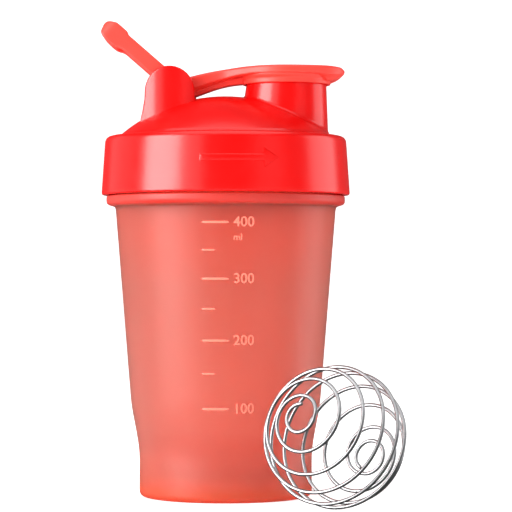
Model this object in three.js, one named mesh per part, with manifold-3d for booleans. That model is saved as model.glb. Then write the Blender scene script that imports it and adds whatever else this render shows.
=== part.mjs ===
// Protein shaker bottle: tapered cup, screw lid with a spout and a hinge tower,
// snap-down flip cap, carry loop and a loose wire whisk ball.
// Millimetres, +Z up. The origin is the centre of the cup's underside, +X points from the
// hinge tower towards the spout, and the front of the bottle faces -Y.
import * as THREE from 'three';
import { mergeVertices } from 'three/addons/utils/BufferGeometryUtils.js';
import Module from 'manifold-3d';

const wasm = await Module();
wasm.setup();

const deg = Math.PI / 180;
const ROUND_SIDES = 48;         // facets around the cup and the lid
const SPOUT_SIDES = 40;         // facets around the spout
const PIN_SIDES = 16;
const GAP = 0.3;                // clearance between pieces that touch

// --- cup ---
const foot = { r: 33, top: 14, edge: 1.8 };                 // straight part that fits a cup holder
const flare = { r: 36.4, top: 38 };                         // where the foot has opened into the taper
const taper = { r: 42.1, top: 109 };
const wall = 1.7;
const floorThickness = 3;
const insideCorner = 11;                                    // rounded corner between floor and wall
const underside = { ringInnerR: 26, recess: 0.8, padR: 7 };  // standing ring, hollow and centre pad
const bead = { r: 45.7, low: 111, top: 114.6 };             // rounded collar just under the lid
const neck = { r: 41.6, innerR: 39.8, top: 133.4 };

// --- screw thread: the crests pass each other, so the ridges only guide the lid ---
const thread = { lead: 5, turns: 1.5, low: 119.5, width: 2.2 };
const cupThreadCrest = 42.7;
const lidThreadCrest = 43.1;

// --- lid ---
const skirt = { low: 115.3, lipR: 47.6, lipTop: 117.6, midR: 46.9, midZ: 126, topR: 46.1, innerR: 44.2 };
const shoulder = { corner: 4.1, top: 137.6 };               // rounded edge between skirt and ledge
const ledgeInnerR = 39.7;
const dome = { r: 62, centreZ: 91, wall: 2.2 };
const sealSeat = 135.4;                                     // underside of the ledge, above the rim
const plugRing = { r: 39.3, innerR: 37.8, low: 130.6 };     // ring that reaches down inside the cup's mouth
const sealRing = { r: 42.6, low: neck.top + GAP, top: sealSeat - GAP };

// --- spout ---
const spout = { x: 23.3, topR: 15.2, slope: 0.08, top: 159.5, boreR: 12.8, rim: 0.8 };

// --- hinge tower and its shared pivot ---
const pivot = { x: -21.1, z: 154.2 };
const tower = { r: 9.4, sideY: 12.6, frontY: 15.8, slotY: 11.4, low: 145.2 };
const towerFoot = { right: 2.2, left: 0.8, height: 5 };     // how far the tower spreads into the dome
const pin = { r: 2, halfLength: 13.2, clearance: 0.25 };

// --- flip cap ---
const cap = {
  plateR: 18.2, plateLow: 160.2, skirtR: 16.9, skirtInnerR: 15.9, skirtLow: 157.4,
  plugR: 12, plugInnerR: 10.6, plugLow: 155.4, knuckleR: 5.2, knuckleY: 6.3, neckY: 6.4,
};
// The cap's top line from the knuckle to the nose, and its underside from the plate back to the knuckle.
const capTop = [
  [-19.1, 158.8], [-12.9, 160.4], [-4.6, 162.4], [8.2, 163.9], [22, 164.2], [33.5, 164.1], [43, 163.6],
];
const capUnder = [[6.6, cap.plateLow], [0, 159], [-6, 157.2], [-12, 154.8], [-17.6, 151.2]];
const noseLip = { tip: [45.6, 163], low: [44.8, 161.4], curl: [43, 158.6], end: [38.9, 158.2] };
// The stiffening rib under the strap runs from the knuckle to the skirt over the spout.
const rib = {
  halfWidth: 3.8, start: [-17.6, 151.2], end: [7.2, 157.7],
  startHandle: [-8, 153.2], endHandle: [-5, 156.8],         // the handles of the curve along its lower edge
  insideStrap: [[7.2, 161.4], [-5, 160], [-16, 156.5]],     // its upper edge, buried in the strap
};
// The cap's half width along X, from the strap over the plate to the nose.
const capSide = [
  [-2, cap.neckY], [5.4, 11.3], [11.5, 15.2], [18.3, 17.6],
  [29.7, 17.5], [38.2, 14.5], [43.5, 9.8], [45.3, 5],
];

// --- carry loop, drawn lying along +X from the pivot ---
const loop = {
  raised: 41.1,                                             // degrees above lying flat towards -X
  armLow: 0.3, armTop: 5.9, armInnerY: 6.8, armOuterY: 11, knuckleR: 5.9,
  barStart: 27, barEnd: 36, barLow: -1.1, barTop: 6.6,
  tip: 37, outerCorner: 5, holeCorner: 2,
};

// --- whisk ball ---
const wire = { r: 0.7, coilR: 25.35 };
const ball = {
  x: 40.1, y: -50.7, z: wire.coilR + wire.r,
  poleAzimuth: -34.5, poleElevation: 20,                    // the coil axis, from -Y towards +X and up
  turns: 9.4, firstPolar: 13.8, lastPolar: 164.4, startPhase: 273,
  levelStart: 0.75, levelEnd: 0.93,                         // turns at each end that close into a small ring
  tuck: 4,                                                  // degrees per turn that those rings still drift
  stepsPerTurn: 22,
};

// ---------- geometry helpers ----------

// A closed three.js geometry as a manifold solid, without the triangles that have no area.
function solidOf(geometry) {
  const bare = geometry.clone();
  bare.deleteAttribute('normal');
  bare.deleteAttribute('uv');
  const merged = mergeVertices(bare, 1e-4);
  const index = merged.index.array;
  const triangles = [];
  for (let i = 0; i < index.length; i += 3) {
    const [a, b, c] = [index[i], index[i + 1], index[i + 2]];
    if (a !== b && b !== c && c !== a) triangles.push(a, b, c);
  }
  return new wasm.Manifold(new wasm.Mesh({
    numProp: 3,
    vertProperties: new Float32Array(merged.attributes.position.array),
    triVerts: new Uint32Array(triangles),
  }));
}

function meshOf(name, solid, material) {
  const { vertProperties, triVerts } = solid.getMesh();
  const geometry = new THREE.BufferGeometry();
  geometry.setAttribute('position', new THREE.BufferAttribute(new Float32Array(vertProperties), 3));
  geometry.setIndex(new THREE.BufferAttribute(new Uint32Array(triVerts), 1));
  geometry.computeVertexNormals();
  const mesh = new THREE.Mesh(geometry, material);
  mesh.name = name;
  return mesh;
}

// An outline of [radius, height] points turned about +Z. It runs up the outside and down the inside.
function turned(outline, sides = ROUND_SIDES) {
  const points = outline.map(([r, z]) => new THREE.Vector2(r, z));
  return new THREE.LatheGeometry(points, sides).rotateX(Math.PI / 2);
}

const turnedSolid = (outline) => solidOf(turned(outline));

// A turned outline that stands around the spout's own axis.
const aroundSpout = (outline) => solidOf(turned(outline, SPOUT_SIDES).translate(spout.x, 0, 0));

const spoutCylinder = (r, low, top) => aroundSpout([[0, low], [r, low], [r, top], [0, top]]);

// An outline in the XZ plane, extruded along Y from yLow to yHigh.
function alongY(shape, yLow, yHigh, curveSegments = 12) {
  const options = { depth: yHigh - yLow, bevelEnabled: false, curveSegments };
  const geometry = new THREE.ExtrudeGeometry(shape, options);
  return solidOf(geometry.rotateX(Math.PI / 2).translate(0, yHigh, 0));
}

// An outline in the XY plane, extruded from zLow up to zHigh.
function upwards(shape, zLow, zHigh, curveSegments = 12) {
  const options = { depth: zHigh - zLow, bevelEnabled: false, curveSegments };
  const geometry = new THREE.ExtrudeGeometry(shape, options);
  return solidOf(geometry.translate(0, 0, zLow));
}

const vectors = (points) => points.map(([x, y]) => new THREE.Vector2(x, y));

const disc = (x, z, r) => new THREE.Shape().absarc(x, z, r, 0, 2 * Math.PI);

// A cylinder on the pivot's axis, or on the one given.
function pinCylinder(r, halfLength, x = pivot.x, z = pivot.z) {
  return alongY(disc(x, z, r), -halfLength, halfLength, PIN_SIDES / 2);
}

function arc(cx, cz, r, fromDeg, toDeg, steps) {
  return Array.from({ length: steps + 1 }, (_, i) => {
    const a = (fromDeg + (toDeg - fromDeg) * i / steps) * deg;
    return [cx + r * Math.cos(a), cz + r * Math.sin(a)];
  });
}

const sphereHeight = (r, x) => dome.centreZ + Math.sqrt(r * r - x * x);

// The thread's helix about +Z at a radius, starting at a height.
class Helix extends THREE.Curve {
  constructor(r, low) {
    super();
    this.r = r;
    this.low = low;
  }
  getPoint(t, target = new THREE.Vector3()) {
    const a = 2 * Math.PI * thread.turns * t;
    const z = this.low + thread.lead * thread.turns * t;
    return target.set(this.r * Math.cos(a), this.r * Math.sin(a), z);
  }
}

// One helical ridge about +Z, whose section reaches from rootR to crestR.
function ridge(rootR, crestR, low) {
  const height = crestR - rootR;
  const half = thread.width / 2;
  const section = new THREE.Shape();
  section.moveTo(0, -half);
  section.lineTo(0, half);
  section.lineTo(-height, half * 0.45);
  section.lineTo(-height, -half * 0.45);
  section.closePath();
  const steps = Math.round(40 * thread.turns);
  return solidOf(new THREE.ExtrudeGeometry(section, { steps, extrudePath: new Helix(rootR, low) }));
}

// ---------- pieces ----------

// The cup's outside radius at a height, up to the collar.
function cupRadius(z) {
  if (z <= foot.top) return foot.r;
  const slope = (taper.r - flare.r) / (taper.top - flare.top);
  if (z >= flare.top) return flare.r + slope * (z - flare.top);
  const span = flare.top - foot.top;
  const t = (z - foot.top) / span;
  const rise = 3 * t * t - 2 * t * t * t;
  return foot.r + (flare.r - foot.r) * rise + slope * span * (t * t * t - t * t);
}

function makeCup() {
  const flareHeights = Array.from({ length: 5 }, (_, i) => foot.top + (flare.top - foot.top) * i / 4);
  const outside = [
    ...arc(foot.r - foot.edge, foot.edge, foot.edge, -90, 0, 4),
    ...flareHeights.map((z) => [cupRadius(z), z]),
    [taper.r, taper.top],
    [bead.r - 1.1, bead.low + 0.6],
    [bead.r - 0.2, bead.low + 1.6],
    [bead.r, bead.low + 2.6],
    [bead.r - 0.7, bead.top],
    [neck.r, bead.top],
    [neck.r, neck.top - 0.5],
    [neck.r - 0.5, neck.top],
  ];
  const cornerR = foot.r - wall - insideCorner;
  const inside = [
    [neck.innerR + 0.4, neck.top],
    [neck.innerR, neck.top - 0.6],
    [neck.innerR, taper.top + 4],
    [taper.r - wall, taper.top - 1],
    ...flareHeights.slice(1).reverse().map((z) => [cupRadius(z) - wall, z]),
    ...arc(cornerR, floorThickness + insideCorner, insideCorner, 0, -90, 5),
  ];
  const below = [
    [0, 0],
    [underside.padR, 0],
    [underside.padR + underside.recess, underside.recess],
    [underside.ringInnerR - underside.recess, underside.recess],
    [underside.ringInnerR, 0],
  ];
  const body = turnedSolid([...below, ...outside, ...inside, [0, floorThickness]]);
  return body.add(ridge(neck.r - 0.4, cupThreadCrest, thread.low));
}

// The lid's outside as a full solid, before it is hollowed.
function lidOutside() {
  const domeEdge = Math.asin(ledgeInnerR / dome.r) / deg;
  const cornerR = skirt.topR - shoulder.corner;
  return turnedSolid([
    [0, skirt.low],
    [skirt.lipR - 0.4, skirt.low],
    [skirt.lipR, skirt.low + 0.8],
    [skirt.lipR - 0.1, skirt.lipTop],
    [skirt.midR, skirt.midZ],
    ...arc(cornerR, shoulder.top - shoulder.corner, shoulder.corner, 0, 90, 6),
    [ledgeInnerR + 0.2, shoulder.top],
    ...arc(0, dome.centreZ, dome.r, 90 - domeEdge, 90, 8),
  ]);
}

// The room under the lid: inside the dome, inside the skirt, and around the plug ring.
function lidHollow() {
  const innerR = dome.r - dome.wall;
  const innerEdge = Math.asin(plugRing.innerR / innerR) / deg;
  return turnedSolid([
    [0, skirt.low - 1],
    [skirt.innerR + 1.6, skirt.low - 1],
    [skirt.innerR, skirt.low + 1],
    [skirt.innerR, sealSeat],
    [plugRing.r, sealSeat],
    [plugRing.r, plugRing.low + 1],
    [plugRing.r - 0.6, plugRing.low],
    [plugRing.innerR + 0.4, plugRing.low],
    [plugRing.innerR, plugRing.low + 0.5],
    ...arc(0, dome.centreZ, innerR, 90 - innerEdge, 90, 7),
  ]);
}

// The tower's arch seen from the front, concentric with the pivot, with a foot that spreads into the dome.
function towerArch() {
  const shape = new THREE.Shape();
  const right = pivot.x + tower.r;
  shape.moveTo(right + towerFoot.right, tower.low);
  shape.quadraticCurveTo(right, tower.low + towerFoot.height, right, pivot.z);
  shape.absarc(pivot.x, pivot.z, tower.r, 0, Math.PI);
  shape.lineTo(pivot.x - tower.r - towerFoot.left, tower.low);
  shape.closePath();
  return shape;
}

// The tower's plan: flat sides with a front and a back that bulge outwards.
function towerPlan() {
  const left = pivot.x - tower.r - 3;
  const right = pivot.x + tower.r + 3;
  const shape = new THREE.Shape();
  shape.moveTo(left, -tower.sideY);
  shape.quadraticCurveTo(pivot.x, 2 * (tower.sideY - tower.frontY) - tower.sideY, right, -tower.sideY);
  shape.lineTo(right, tower.sideY);
  shape.quadraticCurveTo(pivot.x, 2 * (tower.frontY - tower.sideY) + tower.sideY, left, tower.sideY);
  shape.closePath();
  return shape;
}

function hingeTower() {
  const arch = alongY(towerArch(), -tower.frontY - 1, tower.frontY + 1);
  const plan = upwards(towerPlan(), tower.low - 1, pivot.z + tower.r + 1);
  return arch.intersect(plan);
}

// The slot between the cheeks, open to both sides and the top, with the dome as its floor
// and a round trough under the knuckles.
function hingeSlot() {
  const shape = new THREE.Shape();
  const left = pivot.x - tower.r - 6;
  const right = pivot.x + tower.r + 6;
  shape.moveTo(left, pivot.z + tower.r + 1);
  for (let i = 0; i <= 6; i += 1) {
    const x = left + (right - left) * i / 6;
    shape.lineTo(x, sphereHeight(dome.r, x) + 0.02);
  }
  shape.lineTo(right, pivot.z + tower.r + 1);
  shape.closePath();
  const trough = alongY(disc(pivot.x, pivot.z, loop.knuckleR + 0.5), -tower.slotY, tower.slotY);
  return alongY(shape, -tower.slotY, tower.slotY).add(trough);
}

function spoutTube() {
  const low = sealSeat + GAP;
  const baseR = spout.topR + spout.slope * (spout.top - low);
  return aroundSpout([
    [0, low],
    [baseR, low],
    [spout.topR, spout.top - spout.rim],
    [spout.topR - spout.rim, spout.top],
    [0, spout.top],
  ]);
}

function makeLid() {
  const pinEnd = pin.halfLength + GAP;
  return lidOutside()
    .add(spoutTube())
    .subtract(lidHollow())
    .add(hingeTower())
    .subtract(hingeSlot())
    .subtract(spoutCylinder(spout.boreR, plugRing.low, spout.top + 1))
    .subtract(pinCylinder(pin.r + GAP, pinEnd))
    .add(ridge(skirt.innerR + 0.5, lidThreadCrest, thread.low + thread.lead / 2));
}

function makeSealRing() {
  const inner = plugRing.r + GAP;
  return turnedSolid([
    [inner, sealRing.low],
    [sealRing.r, sealRing.low],
    [sealRing.r, sealRing.top],
    [inner, sealRing.top],
    [inner, sealRing.low],
  ]);
}

const makePin = () => pinCylinder(pin.r, pin.halfLength);

// The cap seen from the front: a crowned top from the knuckle to the lifted nose.
function capProfile() {
  const shape = new THREE.Shape();
  shape.moveTo(...capTop[0]);
  shape.splineThru(vectors(capTop.slice(1)));
  shape.quadraticCurveTo(...noseLip.tip, ...noseLip.low);
  shape.quadraticCurveTo(...noseLip.curl, ...noseLip.end);
  shape.lineTo(spout.x + cap.skirtInnerR, cap.plateLow);
  shape.lineTo(...capUnder[0]);
  shape.splineThru(vectors(capUnder.slice(1)));
  shape.closePath();
  return shape;
}

// The cap's plan: a neck between the loop's arms that opens into a round plate with a thumb nose.
function capPlan() {
  const shape = new THREE.Shape();
  const start = pivot.x - cap.knuckleR - 1;
  const front = capSide.map(([x, y]) => [x, -y]);
  const back = [...capSide].reverse();
  shape.moveTo(start, -cap.neckY);
  shape.lineTo(...front[0]);
  shape.splineThru(vectors(front.slice(1)));
  shape.lineTo(...back[0]);
  shape.splineThru(vectors(back.slice(1)));
  shape.lineTo(start, cap.neckY);
  shape.closePath();
  return shape;
}

function ribProfile() {
  const shape = new THREE.Shape();
  shape.moveTo(...rib.start);
  shape.bezierCurveTo(...rib.startHandle, ...rib.endHandle, ...rib.end);
  rib.insideStrap.forEach((point) => shape.lineTo(...point));
  shape.closePath();
  return shape;
}

function makeFlipCap() {
  const body = alongY(capProfile(), -cap.plateR - 1, cap.plateR + 1, 4)
    .intersect(upwards(capPlan(), pivot.z - cap.knuckleR, pivot.z + 2 * cap.knuckleR, 4));
  const ring = (outer, inner, low) => spoutCylinder(outer, low, cap.plateLow + 1)
    .subtract(spoutCylinder(inner, low - 1, cap.plateLow));
  return body
    .add(alongY(ribProfile(), -rib.halfWidth, rib.halfWidth))
    .add(pinCylinder(cap.knuckleR, cap.knuckleY))
    .subtract(spoutCylinder(cap.skirtInnerR, plugRing.low, cap.plateLow))
    .add(ring(cap.skirtR, cap.skirtInnerR, cap.skirtLow))
    .add(ring(cap.plugR, cap.plugInnerR, cap.plugLow))
    .subtract(pinCylinder(pin.r + pin.clearance, tower.frontY));
}

// The loop's side outline, lying along +X from the pivot with its top side up.
function loopProfile() {
  const shape = new THREE.Shape();
  shape.absarc(0, 0, loop.knuckleR, 90 * deg, 350 * deg);
  shape.quadraticCurveTo(loop.knuckleR + 2, loop.armLow, loop.knuckleR + 5, loop.armLow);
  shape.lineTo(loop.barStart - 2, loop.armLow);
  shape.quadraticCurveTo(loop.barStart, loop.barLow, loop.barStart + 2, loop.barLow);
  shape.lineTo(loop.barEnd - 3.5, loop.barLow + 0.3);
  shape.bezierCurveTo(
    loop.barEnd, loop.barLow + 0.8,
    loop.barEnd + 0.4, loop.armTop - 2.3,
    loop.barEnd - 2.6, loop.armTop - 0.3,
  );
  shape.lineTo(loop.barStart + 1.5, loop.barTop);
  shape.quadraticCurveTo(loop.barStart, loop.barTop, loop.barStart - 0.6, loop.armTop);
  shape.closePath();
  return shape;
}

// A flat strip that starts behind the pivot and ends at x with its two far corners rounded.
function roundedStrip(x, halfY, corner) {
  const start = -loop.knuckleR - 5;
  const shape = new THREE.Shape();
  shape.moveTo(start, -halfY);
  shape.lineTo(x - corner, -halfY);
  shape.quadraticCurveTo(x, -halfY, x, corner - halfY);
  shape.lineTo(x, halfY - corner);
  shape.quadraticCurveTo(x, halfY, x - corner, halfY);
  shape.lineTo(start, halfY);
  shape.closePath();
  return shape;
}

function makeCarryLoop() {
  const plan = roundedStrip(loop.tip, loop.armOuterY, loop.outerCorner);
  const hole = roundedStrip(loop.barStart, loop.armInnerY, loop.holeCorner);
  const low = -loop.knuckleR - 1;
  const top = loop.barTop + 1;
  return alongY(loopProfile(), -loop.armOuterY, loop.armOuterY)
    .intersect(upwards(plan, low, top))
    .subtract(upwards(hole, low, top))
    .subtract(pinCylinder(pin.r + pin.clearance, tower.frontY, 0, 0));
}

// The wire's angle from the near pole: a small ring at each pole and an even climb between them.
function polarAngle(turn) {
  const climbEnd = ball.turns - ball.levelEnd;
  if (turn < ball.levelStart) return ball.firstPolar - ball.tuck * (ball.levelStart - turn);
  if (turn > climbEnd) return ball.lastPolar + ball.tuck * (turn - climbEnd);
  const share = (turn - ball.levelStart) / (climbEnd - ball.levelStart);
  return ball.firstPolar + (ball.lastPolar - ball.firstPolar) * share;
}

// The wire's centre line, wound on a sphere from one pole to the other.
class BallCoil extends THREE.Curve {
  constructor() {
    super();
    this.arcLengthDivisions = 2400;
    const azimuth = ball.poleAzimuth * deg;
    const elevation = ball.poleElevation * deg;
    this.pole = new THREE.Vector3(
      Math.cos(elevation) * Math.sin(azimuth),
      -Math.cos(elevation) * Math.cos(azimuth),
      Math.sin(elevation),
    );
    this.side = new THREE.Vector3().crossVectors(this.pole, new THREE.Vector3(0, 0, 1)).normalize();
    this.other = new THREE.Vector3().crossVectors(this.pole, this.side);
  }
  getPoint(t, target = new THREE.Vector3()) {
    const turn = ball.turns * t;
    const polar = polarAngle(turn) * deg;
    const around = 2 * Math.PI * turn + ball.startPhase * deg;
    return target.set(0, 0, 0)
      .addScaledVector(this.pole, wire.coilR * Math.cos(polar))
      .addScaledVector(this.side, wire.coilR * Math.sin(polar) * Math.cos(around))
      .addScaledVector(this.other, wire.coilR * Math.sin(polar) * Math.sin(around));
  }
}

function makeWhiskBall() {
  const steps = Math.round(ball.turns * ball.stepsPerTurn);
  const options = { steps, extrudePath: new BallCoil(), curveSegments: 3 };
  return solidOf(new THREE.ExtrudeGeometry(disc(0, 0, wire.r), options));
}

// ---------- materials ----------

const plastic = (color, roughness) => new THREE.MeshStandardMaterial({ color, roughness, metalness: 0 });
const frostedCoral = plastic(0xe8655a, 0.55);
const glossRed = plastic(0xf0282a, 0.28);
const satinCoral = plastic(0xf7625c, 0.42);
const softSeal = plastic(0xd8d4cf, 0.7);
const steelPin = new THREE.MeshStandardMaterial({ color: 0xb9bcc0, roughness: 0.35, metalness: 1 });
const polishedWire = new THREE.MeshStandardMaterial({ color: 0xd2d4d7, roughness: 0.2, metalness: 1 });

// ---------- assembly ----------

const bottle = new THREE.Group();
bottle.add(meshOf('cup', makeCup(), frostedCoral));
bottle.add(meshOf('lid', makeLid(), glossRed));
bottle.add(meshOf('lid_seal', makeSealRing(), softSeal));
bottle.add(meshOf('hinge_pin', makePin(), steelPin));
bottle.add(meshOf('flip_cap', makeFlipCap(), satinCoral));

const carryLoop = meshOf('carry_loop', makeCarryLoop(), satinCoral);
carryLoop.position.set(pivot.x, 0, pivot.z);
carryLoop.rotation.set(0, loop.raised * deg, Math.PI);     // turned to -X first, then raised
bottle.add(carryLoop);

const whiskBall = meshOf('whisk_ball', makeWhiskBall(), polishedWire);
whiskBall.position.set(ball.x, ball.y, ball.z);
bottle.add(whiskBall);

export default bottle;
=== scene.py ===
import math

import bmesh
import bpy
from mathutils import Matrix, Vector


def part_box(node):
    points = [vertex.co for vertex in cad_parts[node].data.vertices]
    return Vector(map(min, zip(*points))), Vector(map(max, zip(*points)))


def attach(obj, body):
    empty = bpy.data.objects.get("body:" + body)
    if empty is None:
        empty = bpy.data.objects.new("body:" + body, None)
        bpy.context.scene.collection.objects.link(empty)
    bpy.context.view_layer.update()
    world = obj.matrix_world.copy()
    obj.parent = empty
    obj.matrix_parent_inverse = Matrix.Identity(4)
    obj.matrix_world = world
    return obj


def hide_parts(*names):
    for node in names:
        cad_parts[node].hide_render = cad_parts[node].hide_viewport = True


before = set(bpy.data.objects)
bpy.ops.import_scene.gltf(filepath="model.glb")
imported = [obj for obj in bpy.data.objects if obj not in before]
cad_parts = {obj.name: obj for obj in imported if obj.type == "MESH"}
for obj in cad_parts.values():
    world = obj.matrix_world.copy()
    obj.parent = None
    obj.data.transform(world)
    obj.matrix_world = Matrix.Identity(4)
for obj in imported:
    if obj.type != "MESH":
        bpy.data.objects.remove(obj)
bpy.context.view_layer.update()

# Shapes are worked out in millimetres and scaled to metres when a mesh is made.
MM = 0.001
ROUND_SIDES = 192          # facets around the cup and the lid
SPOUT_SIDES = 96

cup_low, cup_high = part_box("cup")
lid_low, lid_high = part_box("lid")
loop_low, loop_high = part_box("carry_loop")
ball_low, ball_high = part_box("whisk_ball")
pin_low, pin_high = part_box("hinge_pin")
seal_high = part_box("lid_seal")[1]

# --- cup ---
FOOT_R = 33.0
FOOT_TOP = 14.0
FLARE_R = 36.4
FLARE_TOP = 38.0
TAPER_R = 42.1
TAPER_TOP = 109.0
BEAD_R = cup_high.x / MM
BEAD_LOW = 111.6
BEAD_TOP = 114.8
NECK_TOP = cup_high.z / MM
NECK_R = 41.6
NECK_INNER_R = 39.8
CUP_WALL = 1.7
CUP_FLOOR = 3.0
INSIDE_CORNER = 11.0
UNDERSIDE_R = 25.4         # a hollow with a pad at its centre, inside the ring that the cup stands on
UNDERSIDE_RISE = 0.8
PAD_R = 6.5
PAD_RISE = 0.25

# --- lid ---
LIP_R = lid_high.x / MM
SKIRT_LOW = lid_low.z / MM - 0.2
SKIRT_TOP_R = 46.1
SKIRT_MID_R = 46.9
SKIRT_MID_Z = 126
SKIRT_INNER_R = 44.2
SHOULDER_TOP = 137.6
LEDGE_INNER_R = 39.7
DOME_R = 62.0
DOME_WALL = 2.2
DOME_CENTRE_Z = 91.0
SEAL_SEAT = seal_high.z / MM + 0.3
PLUG_RING_R = 39.3
PLUG_RING_INNER_R = 37.8
PLUG_RING_LOW = 130.6

# --- screw thread on the neck and inside the skirt ---
THREAD_LEAD = 5.0
THREAD_TURNS = 1.5
THREAD_LOW = 119.5
CUP_THREAD_CREST = 42.7
LID_THREAD_CREST = 43.1

# --- spout ---
SPOUT_X = 23.3
SPOUT_TOP_R = 15.2
SPOUT_SLOPE = 0.08
SPOUT_TOP = 159.5
SPOUT_FOOT = 150.0         # the height where the wall meets the dome
SPOUT_BORE_R = 12.8

# --- hinge tower, pin and pivot ---
PIVOT_X = (pin_low.x + pin_high.x) / 2 / MM
PIVOT_Z = (pin_low.z + pin_high.z) / 2 / MM
PIN_R = (pin_high.x - pin_low.x) / 2 / MM
PIN_CLEARANCE = 0.25
TOWER_R = 9.4
TOWER_SIDE_Y = 12.6
TOWER_FRONT_Y = 15.8
TOWER_COLUMN_R = 17.0
SLOT_Y = 11.4

# --- flip cap ---
CAP_PLATE_LOW = 160.2
CAP_SKIRT_R = 16.9
CAP_SKIRT_INNER_R = 15.9
CAP_SKIRT_LOW = 157.4
CAP_PLUG_R = 12.0
CAP_PLUG_INNER_R = 10.6
CAP_PLUG_LOW = 155.4
CAP_KNUCKLE_R = 5.2
CAP_NECK_Y = 6.3
CAP_RIB_Y = 3.8
CAP_RIB_UNDER = [(PIVOT_X + 3.5, 151.2), (-8, 153.2), (-5, 156.8), (7.2, 157.7)]   # a Bezier curve
CAP_RIB_INSIDE = [(7.2, 161.4), (-5, 160), (-16, 156.5)]                          # buried in the strap

# --- carry loop, drawn lying flat from the pivot towards -X and then raised ---
LOOP_RAISED = math.radians(41.1)
LOOP_OUTER_Y = (loop_high.y - loop_low.y) / 2 / MM
LOOP_INNER_Y = 6.8
LOOP_ARM_LOW = 0.3
LOOP_ARM_TOP = 5.9
LOOP_BAR_START = 27.0
LOOP_BAR_LOW = -1.1
LOOP_BAR_TOP = 6.6
LOOP_END = 36.0

# --- whisk ball: one wire wound on a sphere from pole to pole ---
BALL_CENTRE = (ball_low + ball_high) / 2
WIRE_R = 0.7
WIRE_SIDES = 12
COIL_R = 25.35
COIL_TURNS = 9.4
COIL_STEPS_PER_TURN = 90
COIL_FIRST_POLAR = 13.8
COIL_LAST_POLAR = 164.4
COIL_TUCK = 4.0
COIL_START_RING = 0.75
COIL_END_RING = 0.93
COIL_START_PHASE = 273.0
COIL_POLE_AZIMUTH = -34.5
COIL_POLE_ELEVATION = 20.0


# ---------------------------------------------------------------- mesh helpers

def new_object(name, verts, faces, smooth_angle=35.0):
    """A mesh object from millimetre vertices, smooth except along edges sharper than smooth_angle."""
    mesh = bpy.data.meshes.new(name)
    mesh.from_pydata([(x * MM, y * MM, z * MM) for x, y, z in verts], [], faces)
    obj = bpy.data.objects.new(name, mesh)
    bpy.context.scene.collection.objects.link(obj)
    face_outwards(obj)
    shade_smooth(obj, smooth_angle)
    return obj


def face_outwards(obj):
    """Merges vertices that coincide and turns every face outwards."""
    bm = bmesh.new()
    bm.from_mesh(obj.data)
    bmesh.ops.remove_doubles(bm, verts=bm.verts, dist=1e-7)
    bmesh.ops.recalc_face_normals(bm, faces=bm.faces)
    bm.to_mesh(obj.data)
    bm.free()


def shade_smooth(obj, angle):
    """Smooth shading, apart from edges sharper than angle degrees."""
    bm = bmesh.new()
    bm.from_mesh(obj.data)
    for face in bm.faces:
        face.smooth = True
    limit = math.radians(angle)
    for edge in bm.edges:
        edge.smooth = edge.is_manifold and edge.calc_face_angle(0.0) < limit
    bm.to_mesh(obj.data)
    bm.free()


def arc(cx, cz, r, start, end, steps):
    """Points on an arc, from start to end degrees."""
    angles = [math.radians(start + (end - start) * i / steps) for i in range(steps + 1)]
    return [(cx + r * math.cos(a), cz + r * math.sin(a)) for a in angles]


def rounded(corners, steps=6):
    """A line through (x, z, radius) corners, with each corner turned into an arc of that radius."""
    points = []
    for i, (x, z, radius) in enumerate(corners):
        if radius == 0 or i in (0, len(corners) - 1):
            points.append((x, z))
            continue
        here = Vector((x, z))
        back = Vector(corners[i - 1][:2]) - here
        ahead = Vector(corners[i + 1][:2]) - here
        half = back.angle(ahead) / 2
        cut = min(radius / math.tan(half), 0.48 * back.length, 0.48 * ahead.length)
        start = here + back.normalized() * cut
        end = here + ahead.normalized() * cut
        for k in range(steps + 1):
            t = k / steps
            points.append(tuple(start.lerp(here, t).lerp(here.lerp(end, t), t)))
    return points


def curve2d(p0, p1, p2, p3, steps):
    """Points along a cubic Bezier curve."""
    points = []
    for k in range(steps + 1):
        t = k / steps
        u = 1 - t
        weights = (u * u * u, 3 * u * u * t, 3 * u * t * t, t * t * t)
        points.append(tuple(sum(w * p[a] for w, p in zip(weights, (p0, p1, p2, p3))) for a in (0, 1)))
    return points


def lathe(outline, sides=ROUND_SIDES, x=0.0, closed=False):
    """Vertices and faces of (r, z) points turned about a vertical axis at x.
    The outline starts and ends on the axis, or closes on itself."""
    verts = []
    rows = []
    for r, z in outline:
        if r < 1e-6:
            rows.append([len(verts)] * sides)
            verts.append((x, 0.0, z))
            continue
        rows.append(list(range(len(verts), len(verts) + sides)))
        for k in range(sides):
            a = 2 * math.pi * k / sides
            verts.append((x + r * math.cos(a), r * math.sin(a), z))
    return verts, skin(rows, closed)


def skin(rows, closed=False):
    """Faces between neighbouring closed rows of vertex numbers; a row of one repeated number is a point."""
    faces = []
    pairs = list(zip(rows, rows[1:]))
    if closed:
        pairs.append((rows[-1], rows[0]))
    for low, high in pairs:
        count = len(low)
        for k in range(count):
            corners = [low[k], low[(k + 1) % count], high[(k + 1) % count], high[k]]
            face = [v for i, v in enumerate(corners) if v not in corners[:i]]
            if len(face) > 2:
                faces.append(face)
    return faces


def stack(name, rings, smooth_angle):
    """A solid skinned over rings of points and closed at both ends."""
    size = len(rings[0])
    verts = [tuple(point) for ring in rings for point in ring]
    rows = [list(range(size * k, size * (k + 1))) for k in range(len(rings))]
    return new_object(name, verts, skin(rows) + [rows[0], rows[-1]], smooth_angle)


def join(name, objects, smooth_angle=35.0):
    """One object from several, which are removed."""
    bm = bmesh.new()
    for obj in objects:
        bm.from_mesh(obj.data)
    mesh = bpy.data.meshes.new(name)
    bm.to_mesh(mesh)
    bm.free()
    for obj in objects:
        bpy.data.objects.remove(obj)
    joined = bpy.data.objects.new(name, mesh)
    bpy.context.scene.collection.objects.link(joined)
    shade_smooth(joined, smooth_angle)
    return joined


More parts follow.
